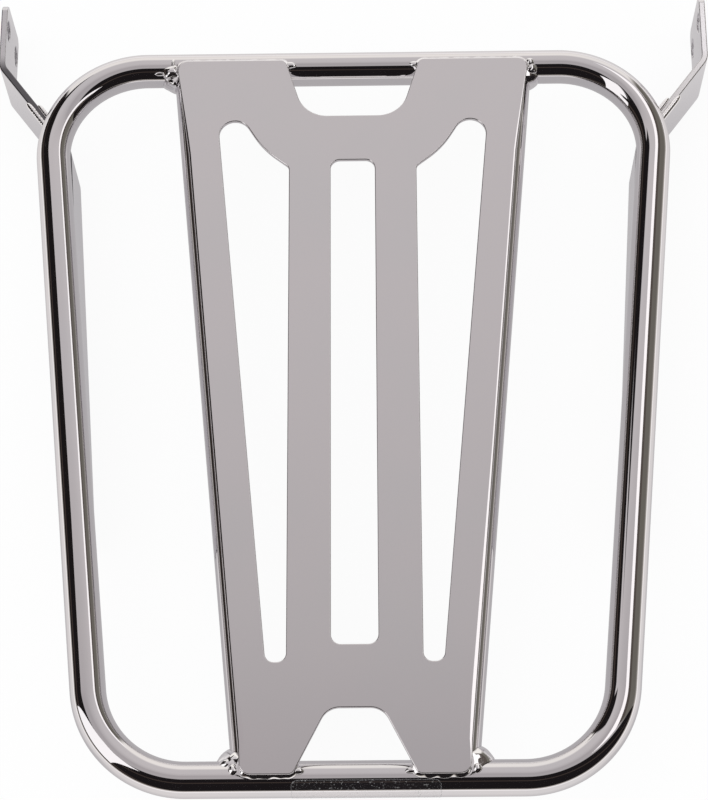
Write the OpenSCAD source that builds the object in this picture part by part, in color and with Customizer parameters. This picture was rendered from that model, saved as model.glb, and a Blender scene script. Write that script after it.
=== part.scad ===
// Solo luggage rack for a motorcycle: a welded hoop of round tube with two rails,
// a slotted sheet plate on top of them and two bent straps that bolt to the fender struts.
// The load lies on the plate (+Z up), the rider sits towards +Y.
// The origin is under the middle of the whole rack, level with the straps' lower edges.

/* [Tube] */
// Outside diameter of the hoop's tube
tube_d = 12.7; // [11:0.1:16]
// Outside diameter of the two rails under the plate
rail_d = 12.7; // [11:0.1:12.7]
// Wall of both tubes
tube_wall = 1.6; // [1:0.1:2.5]
// Gap left between a rail's coped end and the hoop
cope_gap = 0.05; // [0.02:0.01:0.2]
// Drain holes that let the plating bath out of the tubes
drain_d = 4; // [2:0.5:5]
// Distance from a rail's drain hole to the rear cross tube's axis
drain_inset = 30; // [20:1:60]

/* [Hoop] */
// Distance between the axes of the front and rear cross tubes
hoop_len = 276; // [250:1:320]
// Width between the tube axes, measured where front and sides would meet
hoop_front_w = 234; // [215:1:260]
// Width between the tube axes, measured where rear and sides would meet
hoop_rear_w = 180; // [160:1:210]
// Least straight length of cross tube between a rail's bead and the hoop's bend
bend_gap = 7.06; // [5:0.01:12]
// How much the tube's radius draws down in the bends
bend_draw = 0.05; // [0.03:0.01:0.3]

/* [Rails] */
// How far a rail's axis lies inside the plate's front corner
rail_front_in = 5; // [4:0.5:8]
// How far a rail's axis lies inside the plate's rear corner
rail_rear_in = 3.4; // [3:0.1:6]

/* [Plate] */
// Thickness of the sheet
plate_t = 1.6; // [1:0.1:3]
// Width of the plate at its front edge
plate_front_w = 134; // [126:1:142]
// Width of the plate at its rear edge
plate_rear_w = 78.8; // [74:0.1:92]
// Length of the flare that widens the plate's front corners
flare_len = 39; // [20:1:60]
// How far the flare widens the plate on each side
flare_w = 1.8; // [0:0.1:4]
// Radius of the plate's outer corners
plate_corner_r = 4; // [2:0.5:8]

/* [Plate notches] */
// Width of the front notch at its mouth
front_mouth_w = 51; // [40:1:56]
// Width of the front notch at its floor, before rounding
front_floor_w = 36; // [30:1:40]
// Depth of the front notch
front_notch = 24; // [16:1:30]
// Radius in the corners of the front notch
front_notch_r = 11.5; // [4:0.5:12]
// Width of the rear notch at its mouth
rear_mouth_w = 43; // [34:1:44]
// Width of the rear notch at its floor, before rounding
rear_floor_w = 19; // [16:1:24]
// Depth of the rear notch
rear_notch = 23.2; // [16:0.1:30]
// Radius in the corners of the rear notch
rear_notch_r = 7; // [3:0.5:8]
// Radius at the mouths of both notches
mouth_r = 2.5; // [0.5:0.5:4]

/* [Plate slots] */
// Width of the straight middle slot
mid_slot_w = 16.5; // [10:0.5:20]
// Distance from the middle slot's front end to the front cross tube's axis
mid_front_gap = 42.7; // [38:0.1:60]
// Distance from the middle slot's rear end to the rear cross tube's axis
mid_rear_gap = 45.8; // [38:0.1:60]
// Radius in the corners of the middle slot
mid_slot_r = 3.5; // [1:0.5:5]
// Width of each rib between the middle slot and a side slot
rib_w = 15.6; // [10:0.1:18]
// Width of the margin between a side slot and the plate's long edge
margin_w = 12.1; // [9:0.1:15]
// Distance from a side slot's rear end to the rear cross tube's axis
side_rear_gap = 39.5; // [32:0.5:60]
// Distance from a side slot's front point, before rounding, to the front cross tube's axis
side_front_gap = 7.3; // [6:0.1:12]
// Radius at the front point of a side slot
point_r = 5.9; // [4:0.1:6]
// Distance from the slanted end's knee to the front cross tube's axis
knee_gap = 37.9; // [36:0.1:40]
// Distance from that knee to the slot's inner edge
knee_in = 9.7; // [9:0.1:11]
// Radius of the soft bend at the knee
knee_r = 34; // [10:1:40]
// Distance from the slanted end's inner corner to the front cross tube's axis
slant_gap = 45.4; // [44:0.1:50]
// Radius at that inner corner
slant_r = 2.5; // [1:0.5:4]
// Radius in the rear corners of a side slot
side_slot_r = 3.3; // [1:0.1:3.3]

/* [Straps] */
// Thickness of the flat bar
strap_t = 2.5; // [2:0.1:4]
// Height of the flat bar, which stands on edge
strap_h = 30; // [27:0.5:40]
// Width over the outer faces of the two ears
ear_span = 274.6; // [262:0.1:290]
// How far the ears' ends reach past the front cross tube's axis
ear_reach = 34.8; // [26:0.1:50]
// Length of each straight ear, to the bend's apex on the outer face
ear_len = 27.6; // [22:0.1:40]
// Angle of the slanted part from the ear's direction
strap_angle = 37; // [25:1:45]
// Inside radius of the bend behind the ear
ear_bend_r = 5; // [3:0.5:10]
// Inside radius of the bend under the hoop
run_bend_r = 12; // [6:1:20]
// How far a strap's side run lies inside the hoop's front corner
run_in = 9.3; // [6:0.1:13]
// Angle of the side run from the rack's own axis
run_angle = 4.2; // [2:0.1:6]
// Distance from the straps' rear ends to the front cross tube's axis
strap_back = 183; // [150:1:200]
// Radius of the straps' free corners
strap_corner_r = 4; // [1:0.5:7]

/* [Bolt holes] */
// Diameter of the two holes in each ear
bolt_d = 8; // [5:0.1:10]
// Distance between the two holes, one above the other
bolt_pitch = 20; // [14:0.5:21]
// Distance from the holes to the ear's end
bolt_edge = 9.9; // [8:0.1:16]

/* [Welds] */
// Leg of the bead round each rail's end
rail_bead = 3; // [1.5:0.5:4]
// Radius of the bead along the plate's front and rear edges
edge_bead_r = 1.2; // [0.8:0.1:1.5]
// Radius of the stitches that hold the plate to the rails
stitch_r = 1.8; // [1.2:0.1:2.4]
// Length of each stitch
stitch_len = 18; // [10:1:30]
// Distance from one stitch to the next
stitch_pitch = 90; // [60:1:100]
// Radius of the beads between straps and hoop
strap_bead_r = 2.4; // [1.8:0.1:3]
// Length of each bead between straps and hoop
strap_bead_len = 22; // [12:1:34]
// Distance from a bead's end to the end of the edge it runs along
bead_inset = 3; // [1:0.5:5]
// Offset of the stitches from the rail's axis, as a share of its radius
stitch_share = 0.75; // [0.7:0.01:0.85]
// Place of the bead on the slanted part, as a share of its length
cross_share = 0.72; // [0.66:0.01:0.78]
// Place of the middle bead on the side run, as a share of its length
run_share = 0.45; // [0.3:0.01:0.6]

/* [Label] */
// Length of the blank clear film on the rear tube
label_len = 51.5; // [30:0.5:70]
// Width of the film round the tube
label_w = 10.2; // [6:0.1:14]
// Thickness of the film
label_t = 0.2; // [0.1:0.05:0.4]
// How far the film sits to the right of the middle
label_shift = 3.7; // [-10:0.1:10]
// Direction in which the film's middle faces, up from the rear
label_tilt = 30; // [0:1:60]

/* [Hidden] */
$fn = 64;

// Overshoot that carries cutters cleanly through a face
over = 1;
tube_r = tube_d / 2;
rail_r = rail_d / 2;
front_y = hoop_len / 2;
rear_y = -hoop_len / 2;
left = -1;
right = 1;

// Height of the plate's lower face over the hoop's axis
seat_z = max(tube_r, rail_r);
// The straps hang from the underside of the hoop
strap_top = -tube_r;
strap_low = strap_top - strap_h;
ear_y = front_y + ear_reach;
hoop_back_y = rear_y - tube_r;
// The hoop's middle lies this far from the rack's own origin
hoop_at = [0, -(ear_y + hoop_back_y) / 2, -strap_low];

// Centrelines run anticlockwise, seen from above
hoop_path = [
    [hoop_front_w / 2, front_y], [-hoop_front_w / 2, front_y],
    [-hoop_rear_w / 2, rear_y], [hoop_rear_w / 2, rear_y]
];
rail_front_w = plate_front_w - 2 * rail_front_in;
rail_rear_w = plate_rear_w - 2 * rail_rear_in;
rail_front = [rail_front_w / 2, front_y];
rail_rear = [rail_rear_w / 2, rear_y];

// One die bends all four corners, with the largest radius that keeps bend_gap
side_lean = atan((hoop_front_w - hoop_rear_w) / 2 / hoop_len);
bead_reach = rail_d / 2 + rail_bead + bend_gap;
hoop_bend_r = min(
    (hoop_front_w / 2 - rail_front.x - bead_reach) / tan(45 + side_lean / 2),
    (hoop_rear_w / 2 - rail_rear.x - bead_reach) / tan(45 - side_lean / 2)
);

// The strap's centreline: ear end, ear bend, hoop bend and rear end
ear_x = ear_span / 2 - strap_t / 2;
ear_apex = [ear_x, ear_y - ear_len - strap_t / 2 * tan(strap_angle / 2)];
run_x = hoop_front_w / 2 - run_in + strap_t / 2;
run_apex = [run_x, ear_apex.y - (ear_x - run_x) / tan(strap_angle)];
run_end_y = front_y - strap_back;
strap_path = [
    [ear_x, ear_y], ear_apex, run_apex,
    [run_x - (run_apex.y - run_end_y) * tan(run_angle), run_end_y]
];

function heading(a, b) = atan2(b.y - a.y, b.x - a.x);

// Signed change of direction at b, left turns positive
function turn(a, b, c) = (heading(b, c) - heading(a, b) + 540) % 360 - 180;

// Distance from the apex b to where its bend starts
function setback(a, b, c, r) = r * tan(abs(turn(a, b, c)) / 2);

// The point at a given distance from a towards b
function along(a, b, s) = a + (b - a) * s / norm(b - a);

// The apex b moved sideways by d, so that both legs of the corner move by d
function beside(a, b, c, d) =
    let(middle = heading(a, b) + turn(a, b, c) / 2)
    b + d / cos(turn(a, b, c) / 2) * [cos(middle + 90), sin(middle + 90)];

// The end a of the line from a to b, moved sideways by d
function end_beside(a, b, d) = a + d * [cos(heading(a, b) + 90), sin(heading(a, b) + 90)];

// Where a line through a in direction d has the given y
function x_at(a, b, y) = a.x + (b.x - a.x) * (y - a.y) / (b.y - a.y);

// One rounded corner of an outline, as the points of its arc
function corner(a, b, c, r, steps = 12) =
    let(
        way = turn(a, b, c),
        side = sign(way),
        start = along(b, a, setback(a, b, c, r)),
        centre = start + r * [cos(heading(a, b) + 90 * side), sin(heading(a, b) + 90 * side)]
    )
    [for (i = [0:steps])
        let(angle = heading(a, b) - 90 * side + way * i / steps)
        centre + r * [cos(angle), sin(angle)]];

// An outline with a radius at each of its corners, where 0 leaves the corner sharp
function rounded(points, radii) =
    let(n = len(points))
    [for (i = [0:n - 1])
        each radii[i] == 0
            ? [points[i]]
            : corner(points[(i + n - 1) % n], points[i], points[(i + 1) % n], radii[i])];

function mirrored(points) = [for (i = [len(points) - 1:-1:0]) [-points[i].x, points[i].y]];

// Moves what is drawn about the hoop's middle to the rack's own frame
module in_place() {
    translate(hoop_at) children();
}

// A straight rod of radius r from a to b
module rod(a, b, r) {
    translate([a.x, a.y, 0]) rotate([0, 90, heading(a, b)]) cylinder(r = r, h = norm(b - a));
}

// The hoop's bend at b, between the stretches from a and to c, run on a little into both
module bend(a, b, c, r) {
    way = turn(a, b, c);
    start = along(b, a, setback(a, b, c, hoop_bend_r));
    centre = start + hoop_bend_r * [cos(heading(a, b) + 90), sin(heading(a, b) + 90)];
    lap = 1;
    translate([centre.x, centre.y, 0])
        rotate([0, 0, heading(a, b) - 90 - lap])
            rotate_extrude(angle = way + 2 * lap) translate([hoop_bend_r, 0]) circle(r);
}

// Stretch i of the hoop, from the end of one bend to the start of the next
module stretch(i, r) {
    n = len(hoop_path);
    p = [for (k = [-1:2]) hoop_path[(i + k + n) % n]];
    rod(
        along(p[1], p[2], setback(p[0], p[1], p[2], hoop_bend_r)),
        along(p[2], p[1], setback(p[1], p[2], p[3], hoop_bend_r)),
        r
    );
}

// The closed hoop as a solid bar of radius r, drawn down in its bends
module hoop_bar(r) {
    n = len(hoop_path);
    for (i = [0:n - 1]) {
        stretch(i, r);
        bend(hoop_path[(i + n - 1) % n], hoop_path[i], hoop_path[(i + 1) % n], r - bend_draw);
    }
}

// A drain hole in the underside at the given point
module drain(p) {
    translate([p.x, p.y, -tube_r - over]) cylinder(d = drain_d, h = tube_r + over, $fn = 24);
}

// One length of tube, bent on one die into a hoop and butt welded under the plate
module hoop_tube() {
    color("gainsboro") in_place() difference() {
        hoop_bar(tube_r);
        hoop_bar(tube_r - tube_wall);
        drain([0, front_y]);
        drain([0, rear_y]);
    }
}

module rail_rod(side, r) {
    mirror([side == left ? 1 : 0, 0, 0]) rod(rail_front, rail_rear, r);
}

// A straight cross tube with the given radius, long enough to cut both rails
module cross_rod(y, r) {
    translate([-hoop_front_w / 2, y, 0]) rotate([0, 90, 0]) cylinder(r = r, h = hoop_front_w);
}

// Tube under one long edge of the plate, with both ends coped to fit the cross tubes
module rail(side) {
    drain_y = rear_y + drain_inset;
    color("lightgray") in_place() difference() {
        rail_rod(side, rail_r);
        rail_rod(side, rail_r - tube_wall);
        cross_rod(front_y, tube_r + cope_gap);
        cross_rod(rear_y, tube_r + cope_gap);
        drain([side * x_at(rail_front, rail_rear, drain_y), drain_y]);
    }
}

// Half the plate's width on its straight slanted edge, at any y
function half_plate(y) = let(
        front = plate_front_w / 2 - flare_w,
        rear = plate_rear_w / 2
    )
    rear + (front - rear) * (y - rear_y) / hoop_len;

// Outer edge of a side slot at any y
function slot_edge(y) = half_plate(y) - margin_w;

// The plate's outline: its right half from the front notch to the rear one, then the left half
module plate_outline() {
    flare_y = front_y - flare_len;
    half = [
        [rear_floor_w / 2, rear_y + rear_notch],
        [rear_mouth_w / 2, rear_y],
        [half_plate(rear_y), rear_y],
        [half_plate(flare_y), flare_y],
        [plate_front_w / 2, front_y],
        [front_mouth_w / 2, front_y],
        [front_floor_w / 2, front_y - front_notch]
    ];
    flare_r = flare_len / 2;
    radii = [
        rear_notch_r, mouth_r, plate_corner_r, flare_r, plate_corner_r, mouth_r, front_notch_r
    ];
    back_radii = [for (i = [len(radii) - 1:-1:0]) radii[i]];
    polygon(rounded(concat(half, mirrored(half)), concat(radii, back_radii)));
}

module mid_slot() {
    x = mid_slot_w / 2;
    low = rear_y + mid_rear_gap;
    high = front_y - mid_front_gap;
    polygon(rounded(
        [[-x, low], [x, low], [x, high], [-x, high]],
        [mid_slot_r, mid_slot_r, mid_slot_r, mid_slot_r]
    ));
}

// The tapered slot on the right, whose slanted front end sweeps round the front notch
module side_slot() {
    inner = mid_slot_w / 2 + rib_w;
    low = rear_y + side_rear_gap;
    high = front_y - side_front_gap;
    points = [
        [inner, low], [slot_edge(low), low], [slot_edge(high), high],
        [inner + knee_in, front_y - knee_gap], [inner, front_y - slant_gap]
    ];
    polygon(rounded(points, [side_slot_r, side_slot_r, point_r, knee_r, slant_r]));
}

// Cut sheet that lies on the hoop and the rails
module centre_plate() {
    color("silver") in_place() translate([0, 0, seat_z]) linear_extrude(plate_t) difference() {
        plate_outline();
        mid_slot();
        side_slot();
        mirror([1, 0]) side_slot();
    }
}

// The right strap seen from above: its outboard face, then its inboard face back again
module strap_outline() {
    p = strap_path;
    half = strap_t / 2;
    faces = [for (side = [1, -1]) [
        end_beside(p[0], p[1], side * half),
        beside(p[0], p[1], p[2], side * half),
        beside(p[1], p[2], p[3], side * half),
        p[3] + end_beside(p[2], p[3], side * half) - p[2]
    ]];
    inboard = faces[1];
    outboard = faces[0];
    back = [for (i = [3:-1:0]) inboard[i]];
    polygon(rounded(concat(outboard, back), [
        0, ear_bend_r + strap_t, run_bend_r, 0,
        0, run_bend_r + strap_t, ear_bend_r, 0
    ]));
}

module strap_blank() {
    translate([0, 0, strap_low]) linear_extrude(strap_h) strap_outline();
}

// What is cut away outside a rounded corner: +Y and +Z point to the corner
module corner_cut(r) {
    difference() {
        translate([0, -r, -r]) cube([4 * strap_t, r + over, r + over]);
        translate([-over, -r, -r]) rotate([0, 90, 0]) cylinder(r = r, h = 4 * strap_t + 2 * over);
    }
}

// The strap on the right side, bent twice, with its corners rounded and its ear drilled
module strap_solid() {
    hole_y = ear_y - bolt_edge;
    ear_in = ear_x - 2 * strap_t;
    end_in = strap_path[3].x - 2 * strap_t;
    difference() {
        strap_blank();
        translate([ear_in, ear_y, strap_top]) corner_cut(strap_corner_r);
        translate([ear_in, ear_y, strap_low]) mirror([0, 0, 1]) corner_cut(strap_corner_r);
        translate([end_in, run_end_y, strap_low]) mirror([0, 0, 1]) mirror([0, 1, 0])
            corner_cut(strap_corner_r);
        for (step = [-1, 1])
            translate([ear_in, hole_y, (strap_top + strap_low + step * bolt_pitch) / 2])
                rotate([0, 90, 0]) cylinder(d = bolt_d, h = 4 * strap_t);
    }
}

// Flat bar on edge: the ear bolts to the fender strut, the side run is welded under the hoop
module bracket(side) {
    color("lightsteelblue") in_place() mirror([side == left ? 1 : 0, 0, 0]) strap_solid();
}

// Bead in the corner all round a rail's end, clear of the plate above
module rail_weld(side, y) {
    color("darkgray") in_place() difference() {
        intersection() {
            rail_rod(side, rail_r + rail_bead);
            cross_rod(y, tube_r + rail_bead);
            translate([-hoop_front_w / 2, y > 0 ? y - 2 * tube_d : y, -tube_d])
                cube([hoop_front_w, 2 * tube_d, tube_d + seat_z - cope_gap]);
        }
        rail_rod(side, rail_r);
        cross_rod(y, tube_r);
    }
}

// Bead along one tab of the plate, on the crest of a cross tube
module plate_weld(side, y) {
    inner = (y > 0 ? front_mouth_w : rear_mouth_w) / 2 + bead_inset;
    outer = (y > 0 ? plate_front_w : plate_rear_w) / 2 - plate_corner_r;
    color("darkgray") in_place() difference() {
        translate([side > 0 ? inner : -outer, y, seat_z])
            rotate([0, 90, 0]) cylinder(r = edge_bead_r, h = outer - inner, $fn = 32);
        cross_rod(y, tube_r);
        translate([-plate_front_w, y > 0 ? y - tube_d : y, seat_z - tube_r])
            cube([2 * plate_front_w, tube_d, 2 * tube_r]);
    }
}

// Short beads in the corner between a rail and the plate's underside
module plate_stitches(side) {
    lean = heading(rail_rear, rail_front) - 90;
    color("darkgray") in_place() difference() {
        mirror([side == left ? 1 : 0, 0, 0])
            for (i = [-1:1])
                translate([x_at(rail_front, rail_rear, i * stitch_pitch), i * stitch_pitch, 0])
                    rotate([0, 0, lean])
                        translate([-rail_r * stitch_share, stitch_len / 2, seat_z])
                            rotate([90, 0, 0]) cylinder(r = stitch_r, h = stitch_len, $fn = 32);
        rail_rod(side, rail_r);
        translate([-plate_front_w, rear_y, seat_z]) cube([2 * plate_front_w, hoop_len, tube_d]);
    }
}

// A bead along the strap's upper edge, centred at s along the stretch from a to b
module strap_bead(a, b, s) {
    start = along(a, b, s - strap_bead_len / 2);
    translate([0, 0, strap_top]) rod(start, along(start, b, strap_bead_len), strap_bead_r);
}

// Beads where the strap passes under the hoop's bend and along its side run
module bracket_welds(side) {
    p = strap_path;
    crossing = norm(p[2] - p[1]) * cross_share;
    reach = norm(p[3] - p[2]);
    rear_bead = reach - bead_inset - strap_bead_len / 2;
    color("darkgray") in_place() mirror([side == left ? 1 : 0, 0, 0]) {
        difference() {
            strap_bead(p[1], p[2], crossing);
            bend(hoop_path[3], hoop_path[0], hoop_path[1], tube_r);
            stretch(3, tube_r);
            strap_blank();
        }
        for (s = [reach * run_share, rear_bead])
            difference() {
                strap_bead(p[2], p[3], s);
                bend(hoop_path[3], hoop_path[0], hoop_path[1], tube_r);
                stretch(3, tube_r);
                strap_blank();
            }
    }
}

// Blank clear film that wraps part of the rear tube
module blank_label() {
    arc = label_w / tube_r * 180 / PI;
    color("azure") in_place()
        translate([label_shift - label_len / 2, rear_y, 0])
            rotate([90, 0, 90])
                linear_extrude(label_len) intersection() {
                    difference() {
                        circle(tube_r + label_t);
                        circle(tube_r);
                    }
                    polygon([
                        [0, 0],
                        for (i = [0:4])
                            let(angle = 180 - label_tilt + arc * (i / 4 - 0.5))
                            2 * tube_r * [cos(angle), sin(angle)]
                    ]);
                }
}

hoop_tube();
rail(left);  // left_rail
rail(right);  // right_rail
centre_plate();
bracket(left);  // left_bracket
bracket(right);  // right_bracket
rail_weld(left, front_y);  // front_left_rail_weld
rail_weld(right, front_y);  // front_right_rail_weld
rail_weld(left, rear_y);  // rear_left_rail_weld
rail_weld(right, rear_y);  // rear_right_rail_weld
plate_weld(left, front_y);  // front_left_plate_weld
plate_weld(right, front_y);  // front_right_plate_weld
plate_weld(left, rear_y);  // rear_left_plate_weld
plate_weld(right, rear_y);  // rear_right_plate_weld
plate_stitches(left);  // left_plate_stitches
plate_stitches(right);  // right_plate_stitches
bracket_welds(left);  // left_bracket_welds
bracket_welds(right);  // right_bracket_welds
blank_label();
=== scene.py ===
# Solo luggage rack for a motorcycle, chrome plated, dressed over its solids.
# Metres, +Z up, +Y towards the rider, the rack standing on its straps' lower edges.
import math
import bmesh
import bpy
from mathutils import Matrix, Vector, noise
from mathutils.geometry import tessellate_polygon


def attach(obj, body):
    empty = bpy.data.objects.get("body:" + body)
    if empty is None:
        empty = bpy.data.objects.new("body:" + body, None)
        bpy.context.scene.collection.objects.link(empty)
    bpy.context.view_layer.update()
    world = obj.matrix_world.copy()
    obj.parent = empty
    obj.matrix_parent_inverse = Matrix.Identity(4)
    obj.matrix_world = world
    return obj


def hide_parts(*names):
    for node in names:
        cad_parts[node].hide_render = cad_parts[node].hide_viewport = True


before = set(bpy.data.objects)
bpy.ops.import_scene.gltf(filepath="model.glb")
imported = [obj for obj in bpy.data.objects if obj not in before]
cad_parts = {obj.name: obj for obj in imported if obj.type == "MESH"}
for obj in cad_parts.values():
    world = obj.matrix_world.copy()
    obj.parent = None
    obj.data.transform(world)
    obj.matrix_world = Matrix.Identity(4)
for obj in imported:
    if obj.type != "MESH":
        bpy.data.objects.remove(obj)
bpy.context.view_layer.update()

# ---- The camera ----
# The rack is photographed from above and a little behind, with a long lens about 0.9 m away.
# The three axes are the camera's own right, up and backward directions.
camera = bpy.data.objects.new("camera", bpy.data.cameras.new("camera"))
camera.data.sensor_width = 36
camera.data.lens = 112.5
camera_axes = Matrix((
    (0.99985, -0.00398, -0.01657),
    (0.00977, 0.93042, 0.36636),
    (0.01396, -0.36647, 0.93033),
)).transposed()
camera.matrix_world = Matrix.Translation((0.01269, -0.34549, 0.88167)) @ camera_axes.to_4x4()
bpy.context.scene.collection.objects.link(camera)
bpy.context.scene.camera = camera
bpy.context.scene.view_settings.view_transform = "Standard"

# ---- The hoop ----
# One length of half-inch steel tube, bent on one die at all four corners and butt welded
# under the plate. It is ground, polished and chrome plated, and two holes drain the bath.
mm = 0.001
tube_r = 6.35 * mm
tube_wall = 1.6 * mm
bend_r = 35 * mm
tube_z = 36.35 * mm
front_y = 123.775 * mm
rear_y = -152.225 * mm
drain_r = 2 * mm
hoop_corners = [
    Vector((117 * mm, front_y, tube_z)), Vector((-117 * mm, front_y, tube_z)),
    Vector((-90 * mm, rear_y, tube_z)), Vector((90 * mm, rear_y, tube_z)),
]


class Paint:
    """A socket of a shader, with arithmetic that adds the Math nodes."""

    def __init__(self, sheet, socket):
        self.sheet = sheet
        self.socket = socket

    def maths(self, operation, *others):
        values = {i: other for i, other in enumerate((self,) + others)}
        return self.sheet.node("ShaderNodeMath", {"operation": operation}, values)

    def __add__(self, other):
        return self.maths("ADD", other)

    def __mul__(self, other):
        return self.maths("MULTIPLY", other)

    def __sub__(self, other):
        return self.maths("SUBTRACT", other)

    def __truediv__(self, other):
        return self.maths("DIVIDE", other)

    def __rsub__(self, other):
        return self.maths("MULTIPLY", -1.0).maths("ADD", other)

    __radd__ = __add__
    __rmul__ = __mul__

    def band(self, low, high, soft):
        """1 between low and high, fading over soft at both ends."""
        return self.step(low - soft / 2, low + soft / 2) * (
            1 - self.step(high - soft / 2, high + soft / 2))

    def step(self, low, high):
        """0 below low, 1 above high, smooth between."""
        return self.sheet.node(
            "ShaderNodeMapRange", {"interpolation_type": "SMOOTHSTEP"},
            {"Value": self, "From Min": low, "From Max": high})


class Sheet:
    """The node sheet of one material or of the world."""

    def __init__(self, owner):
        owner.use_nodes = True
        self.tree = owner.node_tree
        self.tree.nodes.clear()

    def node(self, kind, settings=None, values=None, out=0):
        made = self.tree.nodes.new(kind)
        for name, value in (settings or {}).items():
            if name == "stops":
                ramp = made.color_ramp.elements
                while len(ramp) < len(value):
                    ramp.new(0.5)
                for stop, (place, colour) in zip(ramp, value):
                    stop.position = place
                    stop.color = (*colour, 1)
            else:
                setattr(made, name, value)
        for name, value in (values or {}).items():
            if isinstance(value, Paint):
                self.tree.links.new(value.socket, made.inputs[name])
            else:
                made.inputs[name].default_value = value
        return Paint(self, made.outputs[out]) if made.outputs else made

    def blend(self, factor, low, high):
        """A colour between low and high."""
        settings = {"data_type": "RGBA"}
        colours = {}
        for slot, colour in ((6, low), (7, high)):
            colours[slot] = colour if isinstance(colour, Paint) else (*colour, 1)
        return self.node("ShaderNodeMix", settings, {0: factor, **colours}, out=2)

    def object_place(self):
        return self.node("ShaderNodeTexCoord", out=3)

    def split(self, vector):
        """The x, y and z of a vector."""
        first = self.node("ShaderNodeSeparateXYZ", None, {0: vector})
        return [Paint(self, output) for output in first.socket.node.outputs]

    def noise(self, place, size, detail=2.0):
        """Noise whose clouds are about size metres across, from 0 to 1."""
        return self.node(
            "ShaderNodeTexNoise", None,
            {"Vector": place, "Scale": 1 / size, "Detail": detail})


def chrome(name, colour, tint, polish, haze, wave_size, wave, grain_size, grain, edge=0.0,
           painted_edge_reflection=None):
    """Bright plating: colour drifts to tint, polish to haze, over waves and fine grain.
    Where the piece marks its cut edges, edge is the roughness that they have on top, and the edge
    colour is a painted reflection on them, which the polished ears in front show only a little."""
    material = bpy.data.materials.new(name)
    sheet = Sheet(material)
    place = sheet.object_place()
    clouds = sheet.noise(place, 40 * mm, 3.0)
    smears = sheet.noise(place, 9 * mm, 4.0).step(0.45, 0.75)
    fine = sheet.noise(place, grain_size, 2.0)
    waves = sheet.noise(place, wave_size, 1.0)
    relief = sheet.node(
        "ShaderNodeBump", None, {"Height": waves * wave + fine * grain, "Distance": 1.0,
                                 "Strength": 1.0})
    edges = sheet.node("ShaderNodeAttribute", {"attribute_name": "edge"}, out=2)
    forward = sheet.split(place)[1]
    # Where the painted edge reflection goes: the marked edges, much less on the ears in front.
    cut = edges * (1 - forward.step(128 * mm, 136 * mm) * 0.8)
    surface = sheet.node("ShaderNodeBsdfPrincipled", None, {
        "Base Color": sheet.blend(cut, sheet.blend(clouds.step(0.35, 0.7), colour, tint),
                                  painted_edge_reflection or colour),
        "Metallic": 1.0,
        "Roughness": smears * (haze - polish) + edges * edge + polish,
        "Normal": relief,
    })
    sheet.node("ShaderNodeOutputMaterial", None, {"Surface": surface})
    return material


tube_chrome = chrome(
    "tube_chrome", (0.80, 0.775, 0.785), (0.775, 0.76, 0.775), 0.025, 0.05,
    30 * mm, 0.010 * mm, 2 * mm, 0.0002 * mm)


def modifier_sheet(name, sizes):
    """A Geometry Nodes tree with a geometry, the named sizes and a material as inputs."""
    tree = bpy.data.node_groups.new(name, "GeometryNodeTree")
    face = tree.interface
    face.new_socket("Geometry", in_out="INPUT", socket_type="NodeSocketGeometry")
    for size in sizes:
        face.new_socket(size, in_out="INPUT", socket_type="NodeSocketFloat")
    face.new_socket("Material", in_out="INPUT", socket_type="NodeSocketMaterial")
    face.new_socket("Geometry", in_out="OUTPUT", socket_type="NodeSocketGeometry")
    given = tree.nodes.new("NodeGroupInput")

    def add(kind, values=None, out=0, **settings):
        made = tree.nodes.new(kind)
        for key, value in settings.items():
            setattr(made, key, value)
        for key, value in (values or {}).items():
            if isinstance(value, bpy.types.NodeSocket):
                tree.links.new(value, made.inputs[key])
            else:
                made.inputs[key].default_value = value
        return made.outputs[out] if made.outputs else made

    return tree, given.outputs, add


def grown(name, tree, path, closed, sizes, material):
    """The plain mesh that a tree grows along a path of points."""
    mesh = bpy.data.meshes.new(name)
    edges = [(i, i + 1) for i in range(len(path) - 1)] + ([(len(path) - 1, 0)] if closed else [])
    mesh.from_pydata(path, edges, [])
    seed = bpy.data.objects.new(name, mesh)
    bpy.context.scene.collection.objects.link(seed)
    modifier = seed.modifiers.new("grow", "NODES")
    modifier.node_group = tree
    for item in tree.interface.items_tree:
        if item.in_out == "INPUT" and item.name in sizes:
            modifier[item.identifier] = float(sizes[item.name])
        if item.in_out == "INPUT" and item.name == "Material":
            modifier[item.identifier] = material
    return settled(seed)


def settled(piece):
    """The piece with its modifiers turned into plain mesh."""
    bpy.context.view_layer.update()
    seen = piece.evaluated_get(bpy.context.evaluated_depsgraph_get())
    mesh = bpy.data.meshes.new_from_object(seen)
    piece.modifiers.clear()
    piece.data = mesh
    return piece


tree, given, add = modifier_sheet("swept_tube", ["Radius", "Bend radius"])
line = add("GeometryNodeMeshToCurve", {"Mesh": given["Geometry"]})
line = add("GeometryNodeFilletCurve", {"Curve": line, "Radius": given["Bend radius"], "Count": 36},
           mode="POLY")
ring = add("GeometryNodeCurvePrimitiveCircle", {"Resolution": 96, "Radius": given["Radius"]})
skin = add("GeometryNodeCurveToMesh", {"Curve": line, "Profile Curve": ring, "Fill Caps": True})
skin = add("GeometryNodeSetShadeSmooth", {"Geometry": skin, "Shade Smooth": True})
skin = add("GeometryNodeRealizeInstances", {"Geometry": skin})
skin = add("GeometryNodeSetMaterial", {"Geometry": skin, "Material": given["Material"]})
add("NodeGroupOutput", {"Geometry": skin})
swept_tube = tree


def rod(name, start, end, radius, sides=96):
    """A plain cylinder from start to end."""
    bm = bmesh.new()
    way = end - start
    turn = way.to_track_quat("Z", "Y").to_matrix().to_4x4()
    bmesh.ops.create_cone(
        bm, cap_ends=True, segments=sides, radius1=radius, radius2=radius, depth=way.length,
        matrix=Matrix.Translation((start + end) / 2) @ turn)
    mesh = bpy.data.meshes.new(name)
    bm.to_mesh(mesh)
    bm.free()
    made = bpy.data.objects.new(name, mesh)
    bpy.context.scene.collection.objects.link(made)
    return made


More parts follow.
